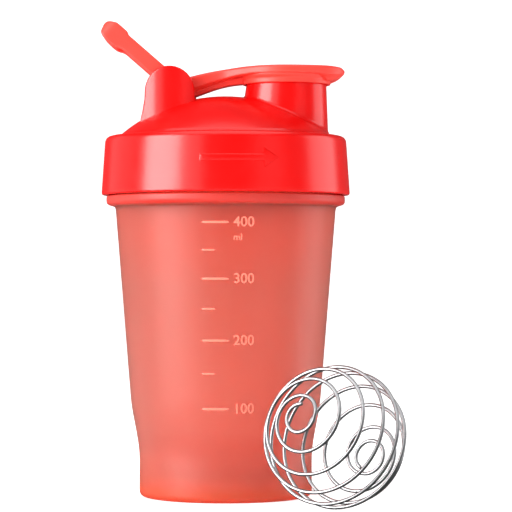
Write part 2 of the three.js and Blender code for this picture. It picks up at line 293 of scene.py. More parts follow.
def apply_modifiers(obj, smooth_angle=35.0):
    """Bakes the object's modifiers into its mesh."""
    graph = bpy.context.evaluated_depsgraph_get()
    mesh = bpy.data.meshes.new_from_object(obj.evaluated_get(graph))
    obj.modifiers.clear()
    obj.data = mesh
    shade_smooth(obj, smooth_angle)


def boolean(obj, other, operation):
    """obj cut by, joined with or kept inside other, which is removed."""
    modifier = obj.modifiers.new("boolean", "BOOLEAN")
    modifier.operation = operation
    modifier.solver = "EXACT"
    modifier.object = other
    apply_modifiers(obj)
    bpy.data.objects.remove(other)
    return obj


def soften(obj, voxel, rounds):
    """Joins the object's overlapping shells into one skin with small moulded radii."""
    remesh = obj.modifiers.new("remesh", "REMESH")
    remesh.mode = "VOXEL"
    remesh.voxel_size = voxel * MM
    smooth = obj.modifiers.new("smooth", "SMOOTH")
    smooth.factor = 0.5
    smooth.iterations = rounds
    apply_modifiers(obj, 180.0)
    return obj


def extrude(name, near, far):
    """A solid between two outlines with the same number of points."""
    count = len(near)
    faces = [list(range(count)), list(range(2 * count - 1, count - 1, -1))]
    faces += [[k, (k + 1) % count, count + (k + 1) % count, count + k] for k in range(count)]
    return new_object(name, near + far, faces)


def along_y(name, outline, low, high):
    """An outline of (x, z) points, extruded along Y."""
    return extrude(name, [(x, low, z) for x, z in outline], [(x, high, z) for x, z in outline])


def upwards(name, outline, low, high):
    """An outline of (x, y) points, extruded along Z."""
    return extrude(name, [(x, y, low) for x, y in outline], [(x, y, high) for x, y in outline])


def y_cylinder(name, r, half_length, x=PIVOT_X, z=PIVOT_Z):
    """A cylinder along Y through the pivot, or through x and z."""
    return along_y(name, arc(x, z, r, 0, 360, 64)[:-1], -half_length, half_length)


def thread_ridge(name, root_r, crest_r, low, width=2.2):
    """One helical ridge about the bottle's axis, tapered to nothing at both ends."""
    rings = []
    steps = int(96 * THREAD_TURNS)
    for k in range(steps + 1):
        t = k / steps
        a = 2 * math.pi * THREAD_TURNS * t
        z = low + THREAD_LEAD * THREAD_TURNS * t
        fade = min(1.0, 14 * t, 14 * (1 - t))
        crest = root_r + (crest_r - root_r) * fade
        section = [(root_r, -width / 2), (root_r, width / 2), (crest, width * 0.22), (crest, -width * 0.22)]
        rings.append([(r * math.cos(a), r * math.sin(a), z + dz) for r, dz in section])
    return stack(name, rings, 50.0)


# ---------------------------------------------------------------- cup

def cup_radius(z):
    """The cup's outside radius at a height between the foot and the bead."""
    if z <= FOOT_TOP:
        return FOOT_R
    slope = (TAPER_R - FLARE_R) / (TAPER_TOP - FLARE_TOP)
    if z >= FLARE_TOP:
        return FLARE_R + slope * (z - FLARE_TOP)
    span = FLARE_TOP - FOOT_TOP
    t = (z - FOOT_TOP) / span
    rise = 3 * t * t - 2 * t ** 3
    return FOOT_R + (FLARE_R - FOOT_R) * rise + slope * span * (t ** 3 - t * t)


def make_cup():
    """The cup as one turned wall, and the thread on its neck."""
    heights = [FOOT_TOP + (TAPER_TOP - FOOT_TOP) * k / 40 for k in range(41)]
    below = [(0, PAD_RISE), (PAD_R, PAD_RISE), (PAD_R + 0.8, UNDERSIDE_RISE), (UNDERSIDE_R, UNDERSIDE_RISE)]
    foot = rounded([
        (UNDERSIDE_R, UNDERSIDE_RISE, 0),
        (UNDERSIDE_R + 0.8, 0, 0.6),
        (FOOT_R, 0, 2.6),
        (FOOT_R, FOOT_TOP, 0),
    ], 8)[1:-1]
    outside = [(cup_radius(z), z) for z in heights]
    collar = rounded([
        (TAPER_R, TAPER_TOP, 0),
        (TAPER_R + 0.3, BEAD_LOW - 1.0, 1.2),
        (BEAD_R, BEAD_LOW, 1.6),
        (BEAD_R, BEAD_TOP, 0.9),
        (NECK_R, BEAD_TOP, 0.5),
        (NECK_R, NECK_TOP, 0.6),
        (NECK_INNER_R, NECK_TOP, 0.6),
        (NECK_INNER_R, TAPER_TOP + 4, 4.0),
        (TAPER_R - CUP_WALL, TAPER_TOP - 4, 0),
    ], 8)[1:]
    inside = [(cup_radius(z) - CUP_WALL, z) for z in reversed(heights) if z < TAPER_TOP - 5]
    corner_r = FOOT_R - CUP_WALL - INSIDE_CORNER
    corner = arc(corner_r, CUP_FLOOR + INSIDE_CORNER, INSIDE_CORNER, 0, -90, 14)
    verts, faces = lathe(below + foot + outside + collar + inside + corner[1:] + [(0, CUP_FLOOR)])
    body = new_object("cup_wall", verts, faces)
    ridge = thread_ridge("cup_thread", NECK_R - 0.3, CUP_THREAD_CREST, THREAD_LOW)
    return join("cup_body", [body, ridge])


def inside_volume(z):
    """Millilitres in the cup below a height, summed in thin slices."""
    total = 0.0
    slices = 200
    step = (z - CUP_FLOOR) / slices
    for k in range(slices):
        height = CUP_FLOOR + (k + 0.5) * step
        r = cup_radius(height) - CUP_WALL
        dip = CUP_FLOOR + INSIDE_CORNER - height
        if dip > 0:
            r = FOOT_R - CUP_WALL - INSIDE_CORNER + math.sqrt(INSIDE_CORNER ** 2 - dip ** 2)
        total += math.pi * r * r * step
    return total / 1000


def fill_height(volume):
    """The height that a volume in millilitres reaches in the cup, found by halving."""
    low, high = CUP_FLOOR, TAPER_TOP
    for _ in range(40):
        middle = (low + high) / 2
        low, high = (middle, high) if inside_volume(middle) < volume else (low, middle)
    return low


# ---------------------------------------------------------------- volume scale on the cup

SCALE_AZIMUTH = -90.0 + 1.0   # degrees; the front of the bottle faces -90
SCALE_RISE = 0.28
MARK_LEFT = -9.0
LONG_MARK_RIGHT = 1.0
SHORT_MARK_RIGHT = -4.0
NUMBER_LEFT = 2.6
NUMBER_SIZE = 5.2
UNIT_SIZE = 3.4
UNIT_DROP = 5.6               # from the top number down to "ml"


def on_cup(across, z, lift):
    """A point on the cup's outside: across is the distance round from the scale's centre line."""
    a = math.radians(SCALE_AZIMUTH) + across / cup_radius(z)
    r = cup_radius(z) + lift
    return (r * math.cos(a), r * math.sin(a), z)


def scale_bar(name, left, right, z, height):
    """A raised bar with a rounded face that follows the cup."""
    columns = 10
    profile = [(-0.5, -0.15), (-0.5, 0.6), (-0.3, 1.0), (0.3, 1.0), (0.5, 0.6), (0.5, -0.15)]
    rings = []
    for k in range(columns + 1):
        across = left + (right - left) * k / columns
        squeeze = 0.6 if k in (0, columns) else 1.0
        rings.append([on_cup(across, z + dz * height * squeeze, lift * SCALE_RISE * squeeze)
                      for dz, lift in profile])
    return stack(name, rings, 50.0)


def scale_number(name, text, left, z, size):
    """Raised figures that follow the cup."""
    font = bpy.data.curves.new(name + "_font", "FONT")
    font.body = text
    font.size = size
    font.extrude = 0.5
    font.bevel_depth = 0.04
    font.bevel_resolution = 1
    font.align_y = "CENTER"
    font.resolution_u = 6
    font.offset = 0.06
    flat = bpy.data.objects.new(name + "_flat", font)
    bpy.context.scene.collection.objects.link(flat)
    graph = bpy.context.evaluated_depsgraph_get()
    mesh = bpy.data.meshes.new_from_object(flat.evaluated_get(graph))
    bpy.data.objects.remove(flat)
    verts = [on_cup(left + v.co.x, z + v.co.y, SCALE_RISE * max(-0.5, min(1.0, 2 * v.co.z)))
             for v in mesh.vertices]
    faces = [list(p.vertices) for p in mesh.polygons]
    return new_object(name, verts, faces, 50.0)


def make_scale():
    """A volume scale in millilitres, with a long mark and a number at each 100 ml."""
    pieces = []
    for volume in range(100, 401, 50):
        z = fill_height(volume)
        major = volume % 100 == 0
        right = LONG_MARK_RIGHT if major else SHORT_MARK_RIGHT
        pieces.append(scale_bar(f"mark_{volume}", MARK_LEFT, right, z, 0.9 if major else 0.7))
        if major:
            pieces.append(scale_number(f"number_{volume}", str(volume), NUMBER_LEFT, z, NUMBER_SIZE))
    pieces.append(scale_number("number_unit", "ml", NUMBER_LEFT, fill_height(400) - UNIT_DROP, UNIT_SIZE))
    return join("volume_scale", pieces, 50.0)


# ---------------------------------------------------------------- lid

def dome_height(r, sphere_r=DOME_R):
    """The height of the dome, or of its inside, at a distance from the axis."""
    return DOME_CENTRE_Z + math.sqrt(max(sphere_r ** 2 - r * r, 0.0))


def lid_surface(x, y):
    """The height of the dome, or of the ledge around it, over a point."""
    r = math.hypot(x, y)
    return dome_height(r) if r < LEDGE_INNER_R else SHOULDER_TOP


def lid_shell():
    """Dome, ledge, skirt and plug ring as one turned wall."""
    edge = math.degrees(math.asin(LEDGE_INNER_R / DOME_R))
    inner_r = DOME_R - DOME_WALL
    inner_edge = math.degrees(math.asin(PLUG_RING_INNER_R / inner_r))
    top = arc(0, DOME_CENTRE_Z, DOME_R, 90, 90 - edge, 40)
    riser = top[-1]
    rim = rounded([
        (riser[0] - 0.6, dome_height(riser[0] - 0.6), 0),
        (riser[0], riser[1], 0.9),
        (riser[0] + 0.9, SHOULDER_TOP - 0.15, 0.9),
        (SKIRT_TOP_R, SHOULDER_TOP, 4.6),
        (SKIRT_MID_R, SKIRT_MID_Z, 20),
        (LIP_R - 0.15, 117.8, 1.2),
        (LIP_R, SKIRT_LOW, 0.9),
        (45.2, SKIRT_LOW, 0.4),
        (SKIRT_INNER_R, SKIRT_LOW + 1.2, 0.4),
        (SKIRT_INNER_R, SEAL_SEAT, 0.3),
        (PLUG_RING_R, SEAL_SEAT, 0.3),
        (PLUG_RING_R, PLUG_RING_LOW, 0.7),
        (PLUG_RING_INNER_R, PLUG_RING_LOW, 0.5),
        (PLUG_RING_INNER_R, dome_height(PLUG_RING_INNER_R, inner_r), 1.0),
        (PLUG_RING_INNER_R - 2, dome_height(PLUG_RING_INNER_R - 2, inner_r), 0),
    ], 9)
    ceiling = arc(0, DOME_CENTRE_Z, inner_r, 90 - inner_edge + 2.2, 90, 30)
    verts, faces = lathe(top[:-1] + rim[1:-1] + ceiling[:-1] + [(0, DOME_CENTRE_Z + inner_r)])
    return new_object("lid_shell", verts, faces)


def spout_tube():
    """The spout as a closed ring: a fillet on the dome, the wall, a round rim and the bore."""
    fillet = 1.3
    rim = (SPOUT_TOP_R - SPOUT_BORE_R) / 2
    foot_r = SPOUT_TOP_R + SPOUT_SLOPE * (SPOUT_TOP - SPOUT_FOOT)
    verts = []
    rows = []

    def wall_r(z):
        return SPOUT_TOP_R + SPOUT_SLOPE * (SPOUT_TOP - z)

    def add_row(point):
        rows.append(list(range(len(verts), len(verts) + SPOUT_SIDES)))
        for k in range(SPOUT_SIDES):
            a = 2 * math.pi * k / SPOUT_SIDES
            r, z = point(a)
            verts.append((SPOUT_X + r * math.cos(a), r * math.sin(a), z))

    def base_z(a, r):
        return lid_surface(SPOUT_X + r * math.cos(a), r * math.sin(a))

    def foot_point(turn):
        def point(a):
            r = foot_r + fillet * (1 - math.sin(turn))
            return r, base_z(a, r) - 0.03 + fillet * (1 - math.cos(turn))
        return point

    def wall_point(share):
        def point(a):
            low = base_z(a, foot_r) + fillet
            z = low + (SPOUT_TOP - rim - low) * share
            return wall_r(z) + (foot_r - wall_r(low)) * (1 - share), z
        return point

    def level_point(r, z):
        return lambda a: (r, z)

    def under_point(wider, dip):
        """A point on the dome's underside around the bore."""
        def point(a):
            r = SPOUT_BORE_R + wider
            from_axis = math.hypot(SPOUT_X + r * math.cos(a), r * math.sin(a))
            return r, dome_height(from_axis, DOME_R - DOME_WALL) - dip
        return point

    add_row(lambda a: (foot_r + fillet, base_z(a, foot_r + fillet) - 1.0))
    for k in range(8):
        add_row(foot_point(math.pi / 2 * k / 8))
    for k in range(13):
        add_row(wall_point(k / 12))
    for k in range(1, 12):
        turn = math.pi * k / 12
        r = SPOUT_BORE_R + rim + rim * math.cos(turn)
        add_row(level_point(r, SPOUT_TOP - rim + rim * math.sin(turn)))
    for depth in (rim, 4, 7):
        add_row(level_point(SPOUT_BORE_R, SPOUT_TOP - depth))
    for wider, dip in ((0, 0.2), (0.3, 0.5), (1.2, 0.5), (1.5, 0.0)):
        add_row(under_point(wider, dip))
    return new_object("spout_tube", verts, skin(rows, closed=True), 40.0)


def tower_arch():
    """The hinge tower from the side: round over the pivot and wider towards its foot."""
    right = curve2d(
        (PIVOT_X + TOWER_R + 2.6, 141.5), (PIVOT_X + TOWER_R + 1.0, 148.5),
        (PIVOT_X + TOWER_R, 150), (PIVOT_X + TOWER_R, PIVOT_Z), 12)
    left = [(PIVOT_X - TOWER_R - 0.2, 151), (PIVOT_X - TOWER_R - 0.9, 147), (PIVOT_X - TOWER_R - 2.2, 141.5)]
    return right + arc(PIVOT_X, PIVOT_Z, TOWER_R, 0, 180, 48)[1:] + left


def tower_plan(side):
    """One cheek from above: flat towards the slot and round on the outside, like part of a column."""
    outer = []
    steps = 40
    for k in range(steps + 1):
        across = -14.0 + 28.0 * k / steps
        y = TOWER_FRONT_Y - TOWER_COLUMN_R + math.sqrt(TOWER_COLUMN_R ** 2 - across ** 2)
        outer.append((PIVOT_X + across, side * max(y, TOWER_SIDE_Y - 0.4)))
    return outer + [(PIVOT_X + 14.0, side * SLOT_Y), (PIVOT_X - 14.0, side * SLOT_Y)]


def tower_cheek(side):
    """One cheek of the tower, cut to the dome and bored for the pin."""
    cheek = along_y("cheek", tower_arch(), -20, 20)
    boolean(cheek, upwards("cheek_plan", tower_plan(side), 130, 170), "INTERSECT")
    inside = lathe(arc(0, DOME_CENTRE_Z, DOME_R - 0.9, -90, 90, 60))
    boolean(cheek, new_object("under_dome", *inside), "DIFFERENCE")
    soften(cheek, 0.3, 6)
    return boolean(cheek, y_cylinder("pin_bore", PIN_R + 0.3, 13.5), "DIFFERENCE")


def make_lid():
    """Shell, spout, both cheeks of the tower and the thread inside the skirt."""
    shell = lid_shell()
    hole_r = SPOUT_BORE_R + 0.9
    bore = lathe([(0, 120), (hole_r, 120), (hole_r, 170), (0, 170)], SPOUT_SIDES, SPOUT_X)
    boolean(shell, new_object("bore", *bore), "DIFFERENCE")
    boolean(shell, y_cylinder("trough", LOOP_ARM_TOP + 0.5, SLOT_Y), "DIFFERENCE")
    ridge = thread_ridge("lid_thread", SKIRT_INNER_R + 0.4, LID_THREAD_CREST, THREAD_LOW + THREAD_LEAD / 2)
    return join("lid_body", [shell, spout_tube(), tower_cheek(-1), tower_cheek(1), ridge])


# ---------------------------------------------------------------- turning arrow on the skirt

ARROW_Z = 127.5
ARROW_RISE = 0.4
ARROW_LEFT = -9
ARROW_SHAFT = 24              # length of the shaft
ARROW_HALF = 1.3              # half the shaft's width
ARROW_BARB = 2.4              # how far the head stands out past the shaft
ARROW_HEAD = 5.5              # length of the head
SKIRT_BEND_R = 47             # the skirt's radius for distances round it


def skirt_radius(z):
    """The skirt's outside radius at a height on its nearly straight part."""
    low_r, low_z = 47.5, 118
    high_r, high_z = 46.35, 133
    return low_r + (high_r - low_r) * (z - low_z) / (high_z - low_z)


def on_skirt(across, z, lift):
    """A point on the skirt's outside: across is the distance round from the front."""
    a = math.radians(-90) + across / SKIRT_BEND_R
    r = skirt_radius(z) + lift
    return (r * math.cos(a), r * math.sin(a), z)


def make_arrow():
    """A raised plain arrow round the skirt that shows which way the lid turns off."""
    half = ARROW_HALF
    columns = 24
    shaft = [ARROW_LEFT + ARROW_SHAFT * k / columns for k in range(columns + 1)]
    neck = shaft[-1]
    head = [(neck, half + ARROW_BARB), (neck + ARROW_HEAD, 0.0), (neck, -half - ARROW_BARB)]
    outline = [(x, half) for x in shaft] + head + [(x, -half) for x in reversed(shaft)]
    count = len(outline)
    verts = [on_skirt(x, ARROW_Z + z, -0.2) for x, z in outline]
    verts += [on_skirt(x, ARROW_Z + z * 0.93, ARROW_RISE * 0.75) for x, z in outline]
    inner = [(x * 0.985 + 0.07, z * 0.8) for x, z in outline]
    verts += [on_skirt(x, ARROW_Z + z, ARROW_RISE) for x, z in inner]
    rows = [list(range(n * count, (n + 1) * count)) for n in range(3)]
    faces = skin(rows)
    top = rows[2]
    # the flat of the shaft in strips, then the head
    for k in range(columns):
        faces.append([top[k], top[k + 1], top[count - 2 - k], top[count - 1 - k]])
    faces.append(top[columns:columns + 5])
    return new_object("turn_arrow", verts, faces, 45.0)


# ---------------------------------------------------------------- flip cap

# Stations along the cap: x, half width, top, foot of the side face, underside, half width of the underside.
CAP_STATIONS = [
    (-17.5, 6.2, 159.3, 155.0, 153.6, 5.4),
    (-11.5, 6.3, 160.9, 155.9, 155.2, 5.4),
    (-5.0, 6.4, 162.3, 158.0, 157.4, 5.4),
    (0.0, 7.2, 163.1, 159.3, 158.9, 6.0),
    (5.5, 10.3, 163.8, 160.4, 160.1, 8.5),
    (11.0, 14.2, 164.1, 160.8, 160.4, 12.5),
    (17.0, 17.1, 164.2, 160.8, 160.4, 15.5),
    (23.3, 18.2, 164.2, 160.8, 160.4, 16.5),
    (30.0, 17.3, 164.2, 160.8, 160.4, 15.5),
    (35.5, 15.6, 164.2, 160.7, 160.3, 13.0),
    (39.0, 13.6, 164.2, 160.4, 158.5, 9.5),
    (42.0, 11.0, 164.0, 160.5, 159.2, 7.5),
    (44.0, 8.2, 163.7, 161.0, 160.4, 6.4),
    (45.2, 4.6, 163.0, 161.7, 161.4, 3.8),
]


def hermite(stations, x):
    """All columns of the stations at x, on a smooth curve through them."""
    last = len(stations) - 1
    i = max(k for k in range(last) if stations[k][0] <= x or k == 0)
    a, b = stations[i], stations[i + 1]
    before, after = stations[max(i - 1, 0)], stations[min(i + 2, last)]
    span = b[0] - a[0]
    t = (x - a[0]) / span
    weight_a = 2 * t ** 3 - 3 * t * t + 1
    weight_b = 3 * t * t - 2 * t ** 3
    lean_a = (t ** 3 - 2 * t * t + t) * span
    lean_b = (t ** 3 - t * t) * span
    values = []
    for c in range(1, len(a)):
        slope_a = (b[c] - before[c]) / (b[0] - before[0])
        slope_b = (after[c] - a[c]) / (after[0] - a[0])
        values.append(weight_a * a[c] + lean_a * slope_a + weight_b * b[c] + lean_b * slope_b)
    return values


def cap_section(x):
    """The cap's outline across at x: crowned top, rounded edges, side faces and a narrower underside."""
    width, top, foot, under, under_width = hermite(CAP_STATIONS, x)
    crown = 0.35 * min(1.0, width / 10)
    edge = min(0.9, (top - foot) * 0.4)
    right = [(width * s, top - crown * s ** 3) for s in (0, 0.3, 0.6, 0.8)]
    right += [(width - edge * (1 - math.sin(a)), top - crown - edge * (1 - math.cos(a)))
              for a in (math.pi / 2 * k / 6 for k in range(7))]
    right += [(width, foot + 0.35), (width - 0.12, foot + 0.1), (width - 0.4, foot)]
    inset = width - 0.4
    right += [(inset + (under_width - inset) * s, foot + (under - foot) * s * s) for s in (0.35, 0.7, 1.0)]
    right += [(under_width * s, under) for s in (0.8, 0.4, 0)]
    left = [(-y, z) for y, z in reversed(right[1:-1])]
    return right + left


def cap_plate():
    """Strap, plate and nose, skinned over sections that come closer together towards the nose."""
    first, last = CAP_STATIONS[0][0], CAP_STATIONS[-1][0]
    steps = 90
    sections = []
    for k in range(steps + 1):
        x = first + (last - first) * (1 - (1 - k / steps) ** 1.25)
        sections.append([(x, y, z) for y, z in cap_section(x)])
    nose = sections[-1]
    middle_z = sum(z for _, _, z in nose) / len(nose)
    for push, shrink in ((0.25, 0.8), (0.38, 0.45)):
        sections.append([(last + push, y * shrink, middle_z + (z - middle_z) * shrink) for _, y, z in nose])
    return stack("cap_plate", sections, 60.0)


def cap_ring(name, outer, inner, low, edge, spread=0.0):
    """A ring that hangs from the plate around the spout's axis, with rounded lower edges.
    Its outside spreads into the plate at the top."""
    top = CAP_PLATE_LOW + 0.6
    outline = rounded([
        (outer + spread, top, 0), (outer + spread, top - 0.4, 0), (outer, top - 1.6, 1.6),
        (outer, low, edge), (inner, low, edge), (inner, top, 0),
    ], 5)
    verts, faces = lathe(outline, SPOUT_SIDES, SPOUT_X, closed=True)
    return new_object(name, verts, faces, 40.0)


def cap_knuckle():
    """The round end on the pin, the web that joins it to the strap, and the rib under the strap."""
    knuckle = y_cylinder("cap_knuckle", CAP_KNUCKLE_R, CAP_NECK_Y - 0.1)
    outline = [
        (PIVOT_X, PIVOT_Z + CAP_KNUCKLE_R - 0.2), (-16.4, 159.2),
        (-16.4, 152.2), (PIVOT_X + 3.3, PIVOT_Z - 3.2),
    ]
    web = along_y("cap_web", outline, -CAP_NECK_Y + 0.2, CAP_NECK_Y - 0.2)
    rib_side = curve2d(*CAP_RIB_UNDER, 16) + CAP_RIB_INSIDE
    return [knuckle, web, along_y("cap_rib", rib_side, -CAP_RIB_Y, CAP_RIB_Y)]


def make_flip_cap():
    """Strap, plate and knuckle in one skin, with the rings that close and plug the spout."""
    strap = join("flip_cap_body", [cap_plate()] + cap_knuckle(), 60.0)
    soften(strap, 0.28, 4)
    boolean(strap, y_cylinder("cap_pin_hole", PIN_R + PIN_CLEARANCE, 8), "DIFFERENCE")
    skirt = cap_ring("cap_skirt", CAP_SKIRT_R, CAP_SKIRT_INNER_R, CAP_SKIRT_LOW, 0.35, 0.9)
    plug = cap_ring("cap_plug", CAP_PLUG_R, CAP_PLUG_INNER_R, CAP_PLUG_LOW, 0.5)
    return join("flip_cap_body", [strap, skirt, plug], 60.0)


# ---------------------------------------------------------------- carry loop

def loop_side():
    """The loop from the side, lying along +X from the pivot."""
    knuckle = arc(0, 0, LOOP_ARM_TOP, 90, 345, 40)
    low = LOOP_ARM_LOW
    under = curve2d((LOOP_ARM_TOP - 0.2, -1.5), (7.4, low), (8.5, low), (10.5, low), 8)
    step = curve2d((23.5, low), (25.5, low), (26, LOOP_BAR_LOW), (28.5, LOOP_BAR_LOW), 8)
    tip = rounded([
        (30.0, LOOP_BAR_LOW, 0), (LOOP_END - 1.2, LOOP_BAR_LOW + 0.4, 2.6), (LOOP_END + 0.4, 4.4, 2.6),
        (LOOP_END - 3.6, LOOP_BAR_TOP, 2.4), (LOOP_BAR_START - 0.2, LOOP_BAR_TOP, 0.9),
        (LOOP_BAR_START - 0.4, LOOP_ARM_TOP, 0),
    ], 8)
    return knuckle + under[1:] + step + tip


def round_box(half_x, half_y, radius, centre_x):
    """A rounded rectangle as (x, y) points."""
    points = []
    for sx, sy, start in ((1, 1, 0), (-1, 1, 90), (-1, -1, 180), (1, -1, 270)):
        points += arc(centre_x + sx * (half_x - radius), sy * (half_y - radius), radius, start, start + 90, 8)
    return points


def make_carry_loop():
    """Two arms and a crossbar, cut from a side view, a plan and a hole, then raised."""
    loop = along_y("carry_loop_body", loop_side(), -LOOP_OUTER_Y, LOOP_OUTER_Y)
    plan = round_box(33, LOOP_OUTER_Y, 4.5, LOOP_END + 0.5 - 33)
    boolean(loop, upwards("loop_plan", plan, -12, 12), "INTERSECT")
    hole = round_box(20, LOOP_INNER_Y, 2.5, LOOP_BAR_START - 20)
    boolean(loop, upwards("loop_hole", hole, -12, 12), "DIFFERENCE")
    boolean(loop, y_cylinder("loop_pin_hole", PIN_R + PIN_CLEARANCE, 20, 0, 0), "DIFFERENCE")
    soften(loop, 0.3, 9)
    # turned to point along -X, raised, and moved onto the pivot
    cosine, sine = math.cos(LOOP_RAISED), math.sin(LOOP_RAISED)
    for vertex in loop.data.vertices:
        x, z = -vertex.co.x, vertex.co.z
        vertex.co.x = x * cosine + z * sine + PIVOT_X * MM
        vertex.co.z = -x * sine + z * cosine + PIVOT_Z * MM
    face_outwards(loop)
    shade_smooth(loop, 180.0)
    return loop


# ---------------------------------------------------------------- whisk ball

def coil_polar(turn):
    """Degrees from the near pole: a small ring at each pole and an even climb between them."""
    climb_end = COIL_TURNS - COIL_END_RING
    if turn < COIL_START_RING:
        return COIL_FIRST_POLAR - COIL_TUCK * (COIL_START_RING - turn)
    if turn > climb_end:
        return COIL_LAST_POLAR + COIL_TUCK * (turn - climb_end)
    share = (turn - COIL_START_RING) / (climb_end - COIL_START_RING)
    return COIL_FIRST_POLAR + (COIL_LAST_POLAR - COIL_FIRST_POLAR) * share


def coil_directions():
    """Unit vectors from the ball's centre to points along the wire."""
    azimuth = math.radians(COIL_POLE_AZIMUTH)
    elevation = math.radians(COIL_POLE_ELEVATION)
    level = Vector((math.sin(azimuth), -math.cos(azimuth), 0))
    pole = level * math.cos(elevation) + Vector((0, 0, math.sin(elevation)))
    side = pole.cross(Vector((0, 0, 1))).normalized()
    other = pole.cross(side)
    steps = round(COIL_TURNS * COIL_STEPS_PER_TURN)
    directions = []
    for k in range(steps + 1):
        turn = COIL_TURNS * k / steps
        polar = math.radians(coil_polar(turn))
        around = 2 * math.pi * turn + math.radians(COIL_START_PHASE)
        ring = side * math.cos(around) + other * math.sin(around)
        directions.append(pole * math.cos(polar) + ring * math.sin(polar))
    return directions


def box_centre(points):
    """The centre of the box around some points."""
    return Vector([(min(values) + max(values)) / 2 for values in zip(*points)])


def rounded_end(centre, before, ring):
    """Shrinking rings that close the end of a wire that comes to centre from the point before."""
    ahead = (centre - before).normalized()
    rings = []
    for turn in (40.5, 72.0):
        shrink = math.cos(math.radians(turn))
        push = ahead * WIRE_R * math.sin(math.radians(turn))
        rings.append([centre + (point - centre) * shrink + push for point in ring])
    return rings


def make_whisk_ball():
    """The wire as one tube, centred so that its box matches the solid part's."""
    directions = coil_directions()
    path = [out * COIL_R for out in directions]
    shift = BALL_CENTRE / MM - box_centre(path)
    path = [point + shift for point in path]
    angles = [2 * math.pi * i / WIRE_SIDES for i in range(WIRE_SIDES)]
    rings = []
    for k, out in enumerate(directions):
        ahead = (path[min(k + 1, len(path) - 1)] - path[max(k - 1, 0)]).normalized()
        across = ahead.cross(out).normalized()
        rings.append([path[k] + (out * math.cos(a) + across * math.sin(a)) * WIRE_R for a in angles])
    start = rounded_end(path[0], path[1], rings[0])
    finish = rounded_end(path[-1], path[-2], rings[-1])
    return stack("whisk_ball_wire", start[::-1] + rings + finish, 60.0)


# ---------------------------------------------------------------- materials

class Shader:
    """A principled material and short calls for the nodes that feed it."""

    def __init__(self, name):
        self.material = bpy.data.materials.new(name)
        self.material.use_nodes = True
        self.tree = self.material.node_tree
        self.principled = self.tree.nodes["Principled BSDF"]

    def node(self, kind, **settings):
        made = self.tree.nodes.new(kind)
        for key, value in settings.items():
            setattr(made, key, value)
        return made

    def link(self, source, target):
        self.tree.links.new(source, target)

    def set(self, **values):
        for key, value in values.items():
            self.principled.inputs[key.replace("_", " ")].default_value = value

    def place(self):
        """Positions on the piece, which turn and move with it."""
        return self.node("ShaderNodeTexCoord").outputs["Object"]

    def noise(self, scale, detail=3.0, roughness=0.5):
        made = self.node("ShaderNodeTexNoise")
        made.inputs["Scale"].default_value = scale
        made.inputs["Detail"].default_value = detail
        made.inputs["Roughness"].default_value = roughness
        self.link(self.place(), made.inputs["Vector"])
        return made.outputs["Fac"]

    def stretch(self, source, low, high):
        """source from 0..1 to low..high."""
        made = self.node("ShaderNodeMapRange")
        made.inputs["To Min"].default_value = low
        made.inputs["To Max"].default_value = high
        self.link(source, made.inputs["Value"])
        return made.outputs["Result"]

    def ramp(self, source, stops):
        made = self.node("ShaderNodeValToRGB")
        elements = made.color_ramp.elements
        while len(elements) < len(stops):
            elements.new(0.5)
        for element, (position, colour) in zip(elements, stops):
            element.position = position
            element.color = (*colour, 1.0)
        self.link(source, made.inputs["Fac"])
        return made.outputs["Color"]

    def mix(self, amount, one, two, blend="MIX"):
        made = self.node("ShaderNodeMix", data_type="RGBA", blend_type=blend)
        for name, value in (("Factor", amount), ("A", one), ("B", two)):
            socket = made.inputs[name]
            if isinstance(value, (int, float)):
                socket.default_value = value
            elif isinstance(value, tuple):
                socket.default_value = (*value, 1.0)
            else:
                self.link(value, socket)
        return made.outputs["Result"]

    def bump(self, *layers):
        """Bump from (height, strength, distance in mm) layers, one on top of the other."""
        below = None
        for height, strength, distance in layers:
            made = self.node("ShaderNodeBump")
            made.inputs["Strength"].default_value = strength
            made.inputs["Distance"].default_value = distance * MM
            self.link(height, made.inputs["Height"])
            if below is not None:
                self.link(below, made.inputs["Normal"])
            below = made.outputs["Normal"]
        self.link(below, self.principled.inputs["Normal"])

    def share(self, value, low, high):
        """0 where the value is low and 1 where it is high."""
        made = self.node("ShaderNodeMapRange")
        made.inputs["From Min"].default_value = low
        made.inputs["From Max"].default_value = high
        self.link(value, made.inputs["Value"])
        return made.outputs["Result"]

    def height(self):
        """The height above the origin."""
        split = self.node("ShaderNodeSeparateXYZ")
        self.link(self.place(), split.inputs["Vector"])
        return split.outputs["Z"]

    def radius(self):
        """The distance from the upright axis through the origin."""
        flat = self.node("ShaderNodeVectorMath", operation="MULTIPLY")
        self.link(self.place(), flat.inputs[0])
        flat.inputs[1].default_value = (1.0, 1.0, 0.0)
        length = self.node("ShaderNodeVectorMath", operation="LENGTH")
        self.link(flat.outputs["Vector"], length.inputs[0])
        return length.outputs["Value"]


def linear(r, g, b):
    """An sRGB colour in 0..255 as linear values."""
    return tuple(((c / 255 + 0.055) / 1.055) ** 2.4 if c > 10 else c / 255 / 12.92 for c in (r, g, b))


